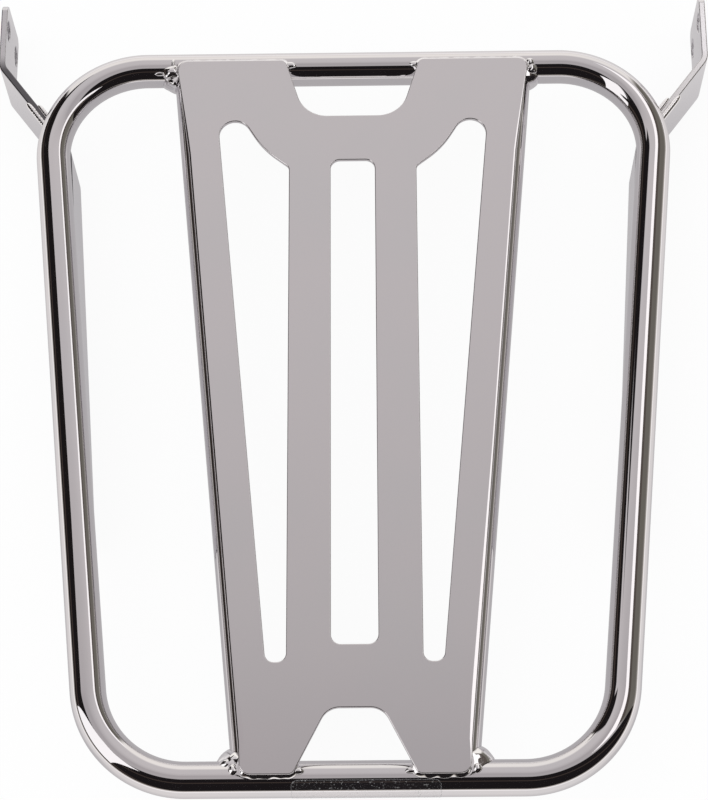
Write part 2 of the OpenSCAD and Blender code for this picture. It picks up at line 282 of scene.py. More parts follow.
def cut_away(piece, *cutters):
    """Takes the cutters out of a piece, then throws them away."""
    for cutter in cutters:
        modifier = piece.modifiers.new("cut", "BOOLEAN")
        modifier.object = cutter
        modifier.solver = "EXACT"
    settled(piece)
    for cutter in cutters:
        bpy.data.objects.remove(cutter)
    piece.data.shade_smooth()
    piece.data.set_sharp_from_angle(angle=math.radians(35))
    return piece


def drain(x, y):
    """The tool of a drain hole in the tube's underside."""
    return rod("drain", Vector((x, y, tube_z - 9 * mm)), Vector((x, y, tube_z)), drain_r, 32)


hoop = grown("hoop", swept_tube, hoop_corners, True,
             {"Radius": tube_r, "Bend radius": bend_r}, tube_chrome)
bore = grown("bore", swept_tube, hoop_corners, True,
             {"Radius": tube_r - tube_wall, "Bend radius": bend_r}, tube_chrome)
cut_away(hoop, bore, drain(0, front_y), drain(0, rear_y))
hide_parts("hoop_tube")
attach(hoop, "root")

# ---- The rails ----
# Two straight lengths of the same tube under the plate's long edges. Their ends are coped
# to fit round the front and rear tubes, and each has one drain hole near its rear end.
rail_front_x = 62 * mm
rail_rear_x = 36 * mm
cope_r = 6.4 * mm
for side, name in ((-1, "left_rail"), (1, "right_rail")):
    front = Vector((side * rail_front_x, front_y, tube_z))
    rear = Vector((side * rail_rear_x, rear_y, tube_z))
    hole_y = rear_y + 30 * mm
    hole_x = rear.x + (front.x - rear.x) * (hole_y - rear_y) / (front_y - rear_y)
    rail = rod(name + "_tube", rear, front, tube_r)
    reach = Vector((40 * mm, 0, 0))
    past = (front - rear).normalized() * mm
    cut_away(
        rail, rod("bore", rear - past, front + past, tube_r - tube_wall, 64),
        rod("cope", front - reach, front + reach, cope_r),
        rod("cope", rear - reach, rear + reach, cope_r), drain(hole_x, hole_y))
    rail.data.materials.clear()
    rail.data.materials.append(tube_chrome)
    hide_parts(name)
    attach(rail, "root")

# ---- The plate ----
# Sheet 1.6 mm thick, cut to a tapered outline with a notch at each end, a straight middle
# slot and two slots that widen to the front. Its edges are eased by polishing.
plate_chrome = chrome(
    "plate_chrome", (0.80, 0.775, 0.785), (0.785, 0.77, 0.78), 0.04, 0.065,
    60 * mm, 0.006 * mm, 1.5 * mm, 0.00012 * mm, edge=0.02)
middle_y = (front_y + rear_y) / 2
sheet_top = 44.3 * mm
sheet_t = 1.6 * mm


def rounded(points, radii, steps=14):
    """An outline with an arc of its own radius at each corner."""
    outline = []
    for i, (corner, radius) in enumerate(zip(points, radii)):
        before, after = points[i - 1], points[(i + 1) % len(points)]
        into, away = (corner - before).normalized(), (after - corner).normalized()
        way = math.atan2(into.x * away.y - into.y * away.x, into.dot(away))
        side = 1 if way > 0 else -1
        start = corner - into * radius * math.tan(abs(way) / 2)
        spoke = Vector((into.y, -into.x)) * radius * side
        centre = start - spoke
        for k in range(steps + 1):
            outline.append(centre + Matrix.Rotation(way * k / steps, 2) @ spoke)
    return outline


def eased(r):
    """The rows of an edge rounded by polishing: inset, drop, and the normal's two parts."""
    return [(r * (1 - math.sin(a)), r * (1 - math.cos(a)), math.sin(a), math.cos(a))
            for a in (math.pi / 8 * k for k in range(5))]


def rolled(lead, roll, drop):
    """The rows of an edge that polishing has rolled off: a lead at 13 degrees, then the
    roll, a quarter of an ellipse as wide as roll and as deep as drop."""
    tilt = math.radians(13)
    start = math.atan(math.tan(tilt) * roll / drop)
    inset = roll * (1 - math.sin(start))
    fallen = lead * math.tan(tilt)
    rows = [(inset + lead + 0.06 * mm, 0.0, 0.0, 1.0),
            (inset + lead - 0.02 * mm, 0.01 * mm, math.sin(tilt), math.cos(tilt))]
    for k in range(7):
        a = start + (math.pi / 2 - start) * k / 6
        n = Vector((drop * math.sin(a), roll * math.cos(a))).normalized()
        rows.append((roll * (1 - math.sin(a)),
                     fallen + drop * (math.cos(start) - math.cos(a)), n.x, n.y))
    return rows


def sheet_metal(outline, holes, thickness, top_edge, hole_edge, low_r):
    """Flat sheet from 0 up to its thickness; outline runs anticlockwise, holes clockwise.
    The two edge functions give the rows of the upper edge at a point. Each point keeps its
    own normal in a layer, so flats stay flat, and another layer marks the edges."""
    bm = bmesh.new()
    facing = bm.verts.layers.float_vector.new("facing")
    edge = bm.verts.layers.float.new("edge")
    low_rows = [(low_r * (1 - math.cos(a)), low_r * (1 - math.sin(a)), math.cos(a), -math.sin(a))
                for a in (math.pi / 8 * k for k in range(5))]
    tops, lows = [], []
    for loop in [outline] + holes:
        clean = [p for i, p in enumerate(loop) if (p - loop[i - 1]).length > 1e-7]
        edge_rows = top_edge if loop is outline else hole_edge
        rings = [[] for _ in edge_rows(loop[0]) + low_rows]
        for i, p in enumerate(clean):
            into = (p - clean[i - 1]).normalized()
            away = (clean[(i + 1) % len(clean)] - p).normalized()
            out = Vector((into.y + away.y, -into.x - away.x)).normalized()
            spread = out / max(0.3, out.dot(Vector((into.y, -into.x))))
            rows = [(inset, thickness - drop, flat, up) for inset, drop, flat, up in edge_rows(p)]
            for ring, (inset, z, flat, up) in zip(rings, rows + low_rows):
                vert = bm.verts.new((*(p - spread * inset), z))
                vert[facing] = (out.x * flat, out.y * flat, up)
                vert[edge] = min(1.0, 3 * flat)
                ring.append(vert)
        for upper, lower in zip(rings, rings[1:]):
            for i in range(len(upper)):
                bm.faces.new((upper[i - 1], lower[i - 1], lower[i], upper[i]))
        tops.append(rings[0])
        lows.append(rings[-1])
    for loops, up in ((tops, 1), (lows, -1)):
        flat = [vert for loop in loops for vert in loop]
        for triangle in tessellate_polygon([[vert.co for vert in loop] for loop in loops]):
            corners = [flat[i] for i in triangle]
            twist = (corners[1].co - corners[0].co).cross(corners[2].co - corners[0].co).z
            bm.faces.new(corners if twist * up > 0 else corners[::-1])
    return bm, facing


def cut_across(bm, axis, places):
    """Adds a row of edges wherever the sheet has to bend."""
    normal = Vector((1, 0, 0)) if axis == 0 else Vector((0, 1, 0))
    for place in places:
        bmesh.ops.bisect_plane(
            bm, geom=bm.verts[:] + bm.edges[:] + bm.faces[:], dist=1e-8,
            plane_co=normal * place, plane_no=normal)


def laid(name, bm, facing, put, material, flipped=False):
    """Moves each point and its normal with put, and makes the piece."""
    normals = []
    for vert in bm.verts:
        vert.co, normal = put(vert.co.copy(), Vector(vert[facing]))
        normals.append(normal.normalized())
    if flipped:
        bmesh.ops.reverse_faces(bm, faces=bm.faces[:])
    bm.verts.layers.float_vector.remove(facing)
    mesh = bpy.data.meshes.new(name)
    bm.to_mesh(mesh)
    bm.free()
    mesh.materials.append(material)
    mesh.shade_smooth()
    mesh.normals_split_custom_set_from_vertices(normals)
    made = bpy.data.objects.new(name, mesh)
    bpy.context.scene.collection.objects.link(made)
    return made


def edge_x(y):
    """Half the plate's width at a distance y in front of the middle."""
    return (39.4 + (65.2 - 39.4) * (y + 138) / 276) * mm


def slot_x(y):
    return edge_x(y) - 12.1 * mm


def at(x, y):
    return Vector((x, middle_y + y * mm))


half = [
    at(9.5 * mm, -114.8), at(21.5 * mm, -138), at(edge_x(-138), -138), at(edge_x(99), 99),
    at(67 * mm, 138), at(25.5 * mm, 138), at(18 * mm, 114),
]
half_radii = [7, 2.5, 4, 19.5, 4, 2.5, 11.5]
outline = rounded(
    half + [Vector((-p.x, p.y)) for p in reversed(half)],
    [r * mm for r in half_radii + half_radii[::-1]])
mid_slot = rounded(
    [at(8.25 * mm, -92.2), at(-8.25 * mm, -92.2), at(-8.25 * mm, 95.3), at(8.25 * mm, 95.3)],
    [3.5 * mm] * 4)
side_slot = rounded(
    [at(23.85 * mm, -98.5), at(23.85 * mm, 92.6), at(33.55 * mm, 100.1),
     at(slot_x(130.7), 130.7), at(slot_x(-98.5), -98.5)],
    [r * mm for r in (3.3, 2.5, 34, 5.9, 3.3)])
other_slot = [Vector((-p.x, p.y)) for p in reversed(side_slot)]


def stepped(loop, step):
    """The same loop with points added where they are further apart than step."""
    made = []
    for i, p in enumerate(loop):
        after = loop[(i + 1) % len(loop)]
        count = max(1, int((after - p).length / step))
        made += [p.lerp(after, k / count) for k in range(count)]
    return made


def plate_edge(p):
    """The long edges were polished hardest: the left one rolled wide, the right one led."""
    y = (p.y - middle_y) / mm
    share = min(1, max(0, (134 - abs(y)) / (28 if y > 0 else 8))) if abs(p.x) > 30 * mm else 0
    if p.x > 0:
        lead = 0.4 + 0.7 * min(1, max(0, (-20 - y) / 80)) - 0.6 * max(0, (-112 - y) / 21)
        roll = 0.8
    else:
        lead = 0.25 + 1.3 * min(1, max(0, (-92 - y) / 30))
        roll = 1.3
    return rolled((0.03 + lead * share) * mm, (0.35 + (roll - 0.35) * share) * mm,
                  (0.4 + 0.45 * share) * mm)


outline = stepped(outline, 4 * mm)
bm, facing = sheet_metal(outline, [mid_slot, side_slot, other_slot], sheet_t, plate_edge,
                         lambda p: eased(0.4 * mm), 0.25 * mm)
plate = laid("plate", bm, facing,
             lambda p, n: (Vector((p.x, p.y, p.z + sheet_top - sheet_t)), n), plate_chrome)
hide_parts("centre_plate")
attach(plate, "root")

# ---- The straps ----
# Flat bar 30 mm high and 2.5 mm thick, standing on edge and bent twice. The drilled ear in
# front bolts to the fender strut, and the side run is welded under the hoop.
# The left and right copies differ only in their edge colour, a painted reflection: dark on the left
# strap, pale on the right.
strap_chrome = {side: chrome(
    f"strap_chrome_{name}", (0.88, 0.865, 0.885), (0.855, 0.845, 0.87), 0.06, 0.11,
    14 * mm, 0.012 * mm, 0.9 * mm, 0.0006 * mm, edge=0.18, painted_edge_reflection=cut)
    for side, name, cut in ((-1, "left", (0.16, 0.155, 0.165)), (1, "right", (0.66, 0.645, 0.65)))}
strap_t = 2.5 * mm
strap_h = 30 * mm
strap_line = [
    Vector((136.05 * mm, middle_y + 172.8 * mm)), Vector((136.05 * mm, middle_y + 144.782 * mm)),
    Vector((108.95 * mm, middle_y + 108.819 * mm)), Vector((97.654 * mm, middle_y - 45 * mm)),
]
strap_bends = [6.25 * mm, 13.25 * mm]


def strap_runs():
    """The strap's centreline as straight runs and bends: length, start, heading, turn."""
    runs = []
    place = strap_line[0]
    for i in (0, 1):
        into = (strap_line[i + 1] - strap_line[i]).normalized()
        away = (strap_line[i + 2] - strap_line[i + 1]).normalized()
        way = math.atan2(into.x * away.y - into.y * away.x, into.dot(away))
        back = strap_bends[i] * math.tan(abs(way) / 2)
        stop = strap_line[i + 1] - into * back
        heading = math.atan2(into.y, into.x)
        runs.append(((stop - place).length, place, heading, 0))
        runs.append((strap_bends[i] * abs(way), stop, heading, way))
        place = strap_line[i + 1] + away * back
    last = strap_line[3] - place
    runs.append((last.length, place, math.atan2(last.y, last.x), 0))
    return runs


runs = strap_runs()
strap_len = sum(run[0] for run in runs)


def on_strap(s):
    """The point of the centreline at a distance s from the ear's end, and its heading."""
    for length, start, heading, way in runs:
        if s <= length or (length, start) == runs[-1][:2]:
            if way == 0:
                return start + Vector((math.cos(heading), math.sin(heading))) * s, heading
            radius = length / abs(way)
            side = 1 if way > 0 else -1
            spoke = Vector((math.sin(heading), -math.cos(heading))) * radius * side
            return (start - spoke + Matrix.Rotation(way * s / length, 2) @ spoke,
                    heading + way * s / length)
        s -= length


corner_r = 4 * mm
strap_shape = rounded(
    [Vector((0, 0)), Vector((strap_len, 0)), Vector((strap_len, strap_h)), Vector((0, strap_h))],
    [corner_r, corner_r, 0.3 * mm, corner_r])
bolt_holes = []
for z in (5 * mm, 25 * mm):
    bolt_holes.append([
        Vector((9.9 * mm + 4 * mm * math.cos(a), z + 4 * mm * math.sin(a)))
        for a in (-2 * math.pi * k / 48 for k in range(48))])
stations = []
s = 0
for length, _, _, way in runs:
    if way:
        stations += [s + length * k / 14 for k in range(15)]
    s += length
for side, name in ((-1, "left"), (1, "right")):
    bm, facing = sheet_metal(strap_shape, bolt_holes, strap_t, lambda p: eased(0.5 * mm),
                             lambda p: eased(0.35 * mm), 0.5 * mm)
    cut_across(bm, 0, stations)

    def bent(p, n):
        place, heading = on_strap(p.x)
        along = Vector((math.cos(heading), math.sin(heading)))
        out = Vector((-along.y, along.x))
        flat = place + out * (p.z - strap_t / 2)
        turned = along * n.x + out * n.z
        return Vector((side * flat.x, flat.y, p.y)), Vector((side * turned.x, turned.y, n.y))

    strap = laid(name + "_strap", bm, facing, bent, strap_chrome[side], flipped=side == 1)
    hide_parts(name + "_bracket")
    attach(strap, "root")

# ---- The stitches and the straps' beads ----
# Wire-fed weld, plated over without grinding, so its ripples still show: in stitches under
# the plate, and on both sides of the straps where they touch the hoop.
weld_chrome = chrome(
    "weld_chrome", (0.95, 0.935, 0.94), (0.88, 0.865, 0.87), 0.06, 0.12,
    3 * mm, 0.012 * mm, 0.6 * mm, 0.0006 * mm)
tree, given, add = modifier_sheet("rippled_bead", ["Radius", "Ripple pitch", "Ripple height"])
line = add("GeometryNodeMeshToCurve", {"Mesh": given["Geometry"]})
line = add("GeometryNodeResampleCurve", {"Curve": line, "Length": 0.22 * mm}, mode="LENGTH")
share = add("GeometryNodeSplineParameter")
run = add("GeometryNodeSplineParameter", out=1)
centred = add("ShaderNodeMath", {0: share, 1: 2.0, 2: -1.0}, operation="MULTIPLY_ADD")
ended = add("ShaderNodeMath", {0: centred, 1: 8.0}, operation="POWER")
taper = add("ShaderNodeMath", {0: 1.0, 1: ended}, operation="SUBTRACT")
taper = add("ShaderNodeMath", {0: taper, 1: 0.5}, operation="POWER")
taper = add("ShaderNodeMath", {0: taper, 1: 0.12}, operation="MAXIMUM")
kept = tree.nodes.new("GeometryNodeCaptureAttribute")
kept.capture_items.new("FLOAT", "run")
kept.capture_items.new("FLOAT", "taper")
tree.links.new(line, kept.inputs["Geometry"])
tree.links.new(run, kept.inputs["run"])
tree.links.new(taper, kept.inputs["taper"])
ring = add("GeometryNodeCurvePrimitiveCircle", {"Resolution": 28, "Radius": given["Radius"]})
ring_share = add("GeometryNodeSplineParameter")
round_kept = tree.nodes.new("GeometryNodeCaptureAttribute")
round_kept.capture_items.new("FLOAT", "round")
tree.links.new(ring, round_kept.inputs["Geometry"])
tree.links.new(ring_share, round_kept.inputs["round"])
skin = add("GeometryNodeCurveToMesh", {
    "Curve": kept.outputs["Geometry"], "Profile Curve": round_kept.outputs["Geometry"],
    "Fill Caps": True, "Scale": kept.outputs["taper"]})
phase = add("ShaderNodeMath", {0: kept.outputs["run"], 1: given["Ripple pitch"]},
            operation="DIVIDE")
swing = add("ShaderNodeMath", {0: round_kept.outputs["round"], 1: 4 * math.pi},
            operation="MULTIPLY")
swing = add("ShaderNodeMath", {0: swing}, operation="COSINE")
phase = add("ShaderNodeMath", {0: swing, 1: 0.3, 2: phase}, operation="MULTIPLY_ADD")
wobble = add("ShaderNodeTexNoise", {"Scale": 1 / (3 * mm), "Detail": 1.0})
phase = add("ShaderNodeMath", {0: wobble, 1: 1.6, 2: phase}, operation="MULTIPLY_ADD")
wave = add("ShaderNodeMath", {0: phase, 1: math.pi}, operation="MULTIPLY")
wave = add("ShaderNodeMath", {0: wave}, operation="SINE")
wave = add("ShaderNodeMath", {0: wave}, operation="ABSOLUTE")
wave = add("ShaderNodeMath", {0: wave, 1: 1.0}, operation="SUBTRACT")
wave = add("ShaderNodeMath", {0: wave, 1: given["Ripple height"]}, operation="MULTIPLY")
wave = add("ShaderNodeMath", {0: wave, 1: kept.outputs["taper"]}, operation="MULTIPLY")
normal = add("GeometryNodeInputNormal")
push = add("ShaderNodeVectorMath", {0: normal, "Scale": wave}, operation="SCALE")
skin = add("GeometryNodeSetPosition", {"Geometry": skin, "Offset": push})
skin = add("GeometryNodeSetShadeSmooth", {"Geometry": skin, "Shade Smooth": True})
skin = add("GeometryNodeRealizeInstances", {"Geometry": skin})
skin = add("GeometryNodeSetMaterial", {"Geometry": skin, "Material": given["Material"]})
add("NodeGroupOutput", {"Geometry": skin})
rippled_bead = tree


def joined(name, pieces):
    """Several meshes as one piece."""
    bm = bmesh.new()
    for piece in pieces:
        bm.from_mesh(piece.data)
    mesh = bpy.data.meshes.new(name)
    bm.to_mesh(mesh)
    bm.free()
    mesh.materials.append(pieces[0].data.materials[0])
    for piece in pieces:
        bpy.data.objects.remove(piece)
    made = bpy.data.objects.new(name, mesh)
    bpy.context.scene.collection.objects.link(made)
    return made


def bead(name, path, radius, ripple=0.22 * mm):
    return grown(name, rippled_bead, path, False,
                 {"Radius": radius, "Ripple pitch": 1.25 * mm, "Ripple height": ripple},
                 weld_chrome)


# Stitches lie in the corner between each rail and the plate's underside.
for side, side_name in ((-1, "left"), (1, "right")):
    stitches = []
    for i in (-1, 0, 1):
        y = middle_y + i * 90 * mm
        slope = (rail_front_x - rail_rear_x) / (front_y - rear_y)
        x = rail_rear_x + slope * (y - rear_y) - 0.75 * tube_r
        ends = [Vector((side * (x + slope * d * mm), y + d * mm, sheet_top - sheet_t - 1.15 * mm))
                for d in (-9, 9)]
        stitches.append(bead("stitch", ends, 1.15 * mm))
    name = side_name + "_plate_stitches"
    piece = joined(name + "_beads", stitches)
    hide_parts(name)
    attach(piece, "root")

# Each strap has one bead where it crosses under the hoop's bend and two along its side run.
slanted = strap_line[2] - strap_line[1]
run = strap_line[3] - strap_line[2]
for side, side_name in ((-1, "left"), (1, "right")):
    strap_beads = []
    for start, way, middle in (
            (strap_line[1], slanted, slanted.length * 0.72),
            (strap_line[2], run, run.length * 0.45),
            (strap_line[2], run, run.length - 14 * mm)):
        along = way.normalized()
        for out in (-1, 1):
            ends = []
            crossing = way is slanted and out == 1
            for d in (-13 * mm if crossing else -9.5 * mm, 9.5 * mm):
                p = start + along * (middle + d) + Vector((-along.y, along.x)) * out * 1.5 * mm
                ends.append(Vector((side * p.x, p.y, strap_h + 0.15 * mm)))
            strap_beads.append(bead("strap_bead", ends, 1.2 * mm if crossing else 0.95 * mm,
                                    0.07 * mm))
    name = side_name + "_bracket_welds"
    piece = joined(name + "_beads", strap_beads)
    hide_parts(name)
    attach(piece, "root")

# ---- The beads round the rails' ends and the tabs ----
# Fillet weld in the saddle-shaped corner where each coped rail meets a cross tube, and along
# the plate's tabs on top of it. It is laid by hand in steps and left rough under the chrome.


def wander(place, size, seed=0.0):
    """Smooth noise from -1 to 1 whose bumps are about size metres across."""
    return noise.noise(place / size + Vector((seed, 3.7 * seed, -seed)))


def fillet(bm, stations, closed, swell, lumps, rows=12):
    """Weld metal between a heel line and a toe line; each station is heel, toe, outward
    direction, root, and the share of the full swell that it has."""
    rings = []
    for k, (heel, toe, out, root, share) in enumerate(stations):
        ring = []
        for j in range(rows + 1):
            v = j / rows
            place = heel.lerp(toe, v)
            rise = swell + lumps * wander(place, 4.5 * mm) + lumps * 0.12 * wander(place, 1.8 * mm)
            ring.append(bm.verts.new(place + out * rise * share * math.sin(math.pi * v) ** 0.6))
        ring.append(bm.verts.new(root))
        rings.append(ring)
    count = len(rings) if closed else len(rings) - 1
    for i in range(count):
        ring, following = rings[i], rings[(i + 1) % len(rings)]
        for j in range(len(ring)):
            bm.faces.new((ring[j - 1], ring[j], following[j], following[j - 1]))
    if not closed:
        bm.faces.new(rings[0])
        bm.faces.new(rings[-1][::-1])


def blob(bm, centre, radii, seed):
    """A lump of weld metal."""
    made = bmesh.ops.create_icosphere(bm, subdivisions=5, radius=1)
    for vert in made["verts"]:
        out = vert.co.copy()
        place = Vector(radii) * mm
        spot = Vector((out.x * place.x, out.y * place.y, out.z * place.z))
        bumps = 1 + 0.36 * wander(spot, 3.6 * mm, seed) + 0.05 * wander(spot, 1.6 * mm, seed)
        vert.co = centre + spot * bumps


def weld_piece(bm, name):
    """Finishes a bead: faces outward, shaded smooth, dressed over its solid."""
    bmesh.ops.recalc_face_normals(bm, faces=bm.faces[:])
    mesh = bpy.data.meshes.new(name)
    bm.to_mesh(mesh)
    bm.free()
    mesh.materials.append(weld_chrome)
    mesh.shade_smooth()
    made = bpy.data.objects.new(name + "_bead", mesh)
    bpy.context.scene.collection.objects.link(made)
    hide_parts(name)
    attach(made, "root")


# Legs on the cross tube and on the rail, then the lumps: where, and how large.
rail_ends = {
    ("front", -1): (4.6, 2.8, [((-69.0, 135.0, 4.9), (4.0, 2.8, 2.0)),
                               ((-72.6, 134.6, 4.4), (3.4, 1.1, 1.0)),
                               ((-67.4, 131.8, 3.6), (2.6, 2.6, 2.2)),
                               ((-68.2, 137.9, 5.9), (0.9, 2.3, 1.1))]),
    ("front", 1): (3.4, 2.8, [((68.6, 134.6, 5.0), (2.4, 2.2, 1.7)),
                              ((67.6, 137.0, 6.0), (1.6, 1.5, 1.3))]),
    ("rear", -1): (4.4, 4.0, [((-43.9, -133.3, 3.6), (2.6, 2.2, 1.9)),
                              ((-41.6, -136.0, 5.7), (1.7, 2.1, 1.4))]),
    ("rear", 1): (4.4, 4.2, [((43.9, -133.0, 3.4), (2.5, 2.5, 2.0)),
                             ((41.6, -135.9, 5.6), (1.7, 2.0, 1.4))]),
}
hoop_frame = Vector((0, middle_y, tube_z))
for (end_name, side), (tube_leg, rail_leg, lumps) in rail_ends.items():
    end, tube_y, rail_x = ((1, front_y, rail_front_x) if end_name == "front"
                           else (-1, rear_y, rail_rear_x))
    lean = side * (rail_front_x - rail_rear_x) / (front_y - rear_y)
    axis = Vector((lean, 1, 0)).normalized() * -end
    across = Vector((axis.y, -axis.x, 0))
    foot = Vector((side * rail_x, tube_y, tube_z))
    stations = []
    for k in range(200):
        a = 2 * math.pi * k / 200
        rail_n = across * math.cos(a) + Vector((0, 0, math.sin(a)))
        spot = foot + rail_n * tube_r
        gap = tube_r * abs(math.cos(a))
        crotch = spot + axis * ((gap - (spot.y - tube_y) * -end) / (axis.y * -end))
        tube_n = Vector((0, crotch.y - tube_y, crotch.z - tube_z)).normalized()
        leg = 1 + 0.3 * wander(crotch, 3 * mm, side)
        on_tube = rail_n - tube_n * rail_n.dot(tube_n) - axis * 0.25
        on_tube = (on_tube - tube_n * on_tube.dot(tube_n)).normalized()
        on_rail = tube_n - rail_n * tube_n.dot(rail_n) + axis * 0.25
        on_rail = (on_rail - rail_n * on_rail.dot(rail_n)).normalized()
        toe = crotch + on_tube * tube_leg * leg * (0.55 + 0.45 * abs(math.cos(a))) * mm
        toe_r = Vector((0, toe.y - tube_y, toe.z - tube_z))
        toe += toe_r.normalized() * (tube_r - 0.08 * mm - toe_r.length)
        heel = crotch + on_rail * rail_leg * leg * mm
        heel_r = heel - foot - axis * (heel - foot).dot(axis)
        heel += heel_r.normalized() * (tube_r - 0.08 * mm - heel_r.length)
        out = (rail_n + tube_n).normalized()
        stations.append((heel, toe, out, crotch - out * 0.5 * mm, 1.0))
    bm = bmesh.new()
    fillet(bm, stations, True, 0.55 * mm, 0.5 * mm)
    for i, (place, radii) in enumerate(lumps):
        blob(bm, hoop_frame + Vector(place) * mm, radii, 1.7 * i + side)
    # Under the plate the bead is flattened against it, beside it the lumps stand higher.
    for vert in bm.verts:
        y = (vert.co.y - middle_y) / mm
        beside = abs(vert.co.x) > edge_x(y) - 0.3 * mm or abs(y) > 138.2
        vert.co.z = min(vert.co.z, sheet_top - (0.5 if beside else 1.65) * mm)
    weld_piece(bm, f"{end_name}_{'left' if side < 0 else 'right'}_rail_weld")

# The bead of a tab starts on the notch's side, rounds the mouth and ends past the corner.
for side, side_name in ((-1, "left"), (1, "right")):
    for end, end_name, mouth, outer, lean in (
            (1, "front", 25.5, 67, 7.5 / 24), (-1, "rear", 21.5, 39.4, 12 / 23.2)):
        turn_r = 2.5 * mm if end > 0 else 2.2 * mm
        bends = rounded(
            [at((mouth - 4 * lean) * mm, end * 134), at(mouth * mm, end * 138),
             at(outer * mm, end * 138), at((outer - 0.25) * mm, end * 134.2)],
            [1e-6, turn_r, 4 * mm, 1e-6], 10)
        line = [bends[0]] + bends[11:33] + [bends[-1]]
        fine = []
        for a, b in zip(line, line[1:]):
            steps = max(1, int((b - a).length / (0.25 * mm)))
            fine += [a.lerp(b, k / steps) for k in range(steps)]
        fine.append(line[-1])
        stations = []
        for k, p in enumerate(fine):
            ahead_p, back_p = fine[min(k + 1, len(fine) - 1)], fine[max(k - 1, 0)]
            way = (ahead_p - back_p).normalized()
            outward = Vector((way.y, -way.x)) * end * -1
            ends = min(k, len(fine) - 1 - k) * 0.25 * mm
            share = min(1.0, 0.25 + ends / (1.5 * mm))
            width = (1.35 + 0.45 * wander(p.to_3d(), 2.6 * mm, side + end)) * share * mm
            foot_p = p + outward * width
            drop = foot_p.y - (front_y if end > 0 else rear_y)
            ground = math.sqrt(max(0.0, tube_r ** 2 - drop ** 2)) + tube_z
            height = sheet_top - (0.35 + 0.35 * (1 - share)) * mm + 0.18 * mm * wander(
                p.to_3d(), 1.4 * mm, end)
            heel = Vector((side * (p.x - outward.x * 0.1 * mm), p.y - outward.y * 0.1 * mm, height))
            toe = Vector((side * foot_p.x, foot_p.y, ground - 0.05 * mm))
            under = p.y - (front_y if end > 0 else rear_y)
            low = math.sqrt(max(0.0, tube_r ** 2 - under ** 2)) + tube_z - 0.3 * mm
            root = Vector((side * (p.x - outward.x * 0.4 * mm), p.y - outward.y * 0.4 * mm, low))
            out = Vector((side * outward.x, outward.y, 1)).normalized()
            stations.append((heel, toe, out, root, share))
        bm = bmesh.new()
        fillet(bm, stations, False, 0.10 * mm, 0.22 * mm, rows=8)
        blob(bm, Vector((side * (mouth - 1.9) * mm, middle_y + end * 136.5 * mm,
                         tube_z + 6.2 * mm)),
             (2.4, 1.3, 1.0), 2.1 * side + end)
        weld_piece(bm, f"{end_name}_{side_name}_plate_weld")

# ---- The film ----
# A blank strip of clear film with rounded corners, stuck over the rear tube's back. Fine bubbles
# and dust under it make it a little milky, and its rim is painted more opaque, a painted highlight.
film_t = 0.18 * mm
clear_film = bpy.data.materials.new("clear_film")
sheet = Sheet(clear_film)
place = sheet.object_place()
specks = sheet.noise(place, 0.75 * mm, 3.0).step(0.6, 0.72)
haze = sheet.noise(place, 6 * mm, 2.0)
rim = sheet.node("ShaderNodeAttribute", {"attribute_name": "edge"}, out=2)
relief = sheet.node("ShaderNodeBump", None, {
    "Height": sheet.noise(place, 1.5 * mm, 2.0) * (0.008 * mm), "Distance": 1.0, "Strength": 1.0})
surface = sheet.node("ShaderNodeBsdfPrincipled", None, {
    "Base Color": sheet.blend(specks, (0.45, 0.45, 0.46), (0.8, 0.81, 0.8)),
    "Roughness": haze * 0.15 + 0.06,
    # The rim term paints a highlight along the film's edge.
    "Alpha": specks * haze * 0.34 + rim * 0.16 + 0.004,
    "IOR": 1.49,
    "Normal": relief,
})
sheet.node("ShaderNodeOutputMaterial", None, {"Surface": surface})
film_len, film_w = 51.5 * mm, 10.2 * mm
film_x = 3.7 * mm
film_shape = rounded(
    [Vector((film_x - film_len / 2, -film_w / 2)), Vector((film_x + film_len / 2, -film_w / 2)),
     Vector((film_x + film_len / 2, film_w / 2)), Vector((film_x - film_len / 2, film_w / 2))],
    [2.4 * mm] * 4)
bm, facing = sheet_metal(film_shape, [], film_t,
                         lambda p: rolled(0.22 * mm, 0.1 * mm, 0.1 * mm), None, 0.02 * mm)
cut_across(bm, 1, [film_w * (k / 16 - 0.5) for k in range(1, 16)])
cut_across(bm, 0, [film_x - film_len / 2 + film_len * k / 24 for k in range(1, 24)])


def wrapped(p, n):
    """From the flat film to the back of the rear tube, 30 degrees up from level."""
    a = math.radians(30) + p.y / tube_r
    out = Vector((0, -math.cos(a), math.sin(a)))
    up = Vector((0, math.sin(a), math.cos(a)))
    place = Vector((p.x, rear_y, tube_z)) + out * (tube_r + 0.01 * mm + p.z)
    return place, Vector((n.x, 0, 0)) + up * n.y + out * n.z


film = laid("film", bm, facing, wrapped, clear_film)
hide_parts("blank_label")
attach(film, "root")

# ---- The studio ----
# A pale floor and soft light from all round. What the metal mirrors was read off the photo:
# a grey ceiling, a cream wall ahead, dark cloth behind and to the left, a square softbox, and
# on the right a long white strip in front of an olive wall.
floor_mesh = bpy.data.meshes.new("floor")
floor_mesh.from_pydata([(-4, -4, -0.0003), (4, -4, -0.0003), (4, 4, -0.0003), (-4, 4, -0.0003)],
                       [], [(0, 1, 2, 3)])
floor = bpy.data.objects.new("floor", floor_mesh)
bpy.context.scene.collection.objects.link(floor)
floor_paint = bpy.data.materials.new("floor_paint")
sheet = Sheet(floor_paint)
fx, fy = (part.maths("ABSOLUTE") for part in sheet.split(sheet.object_place())[:2])
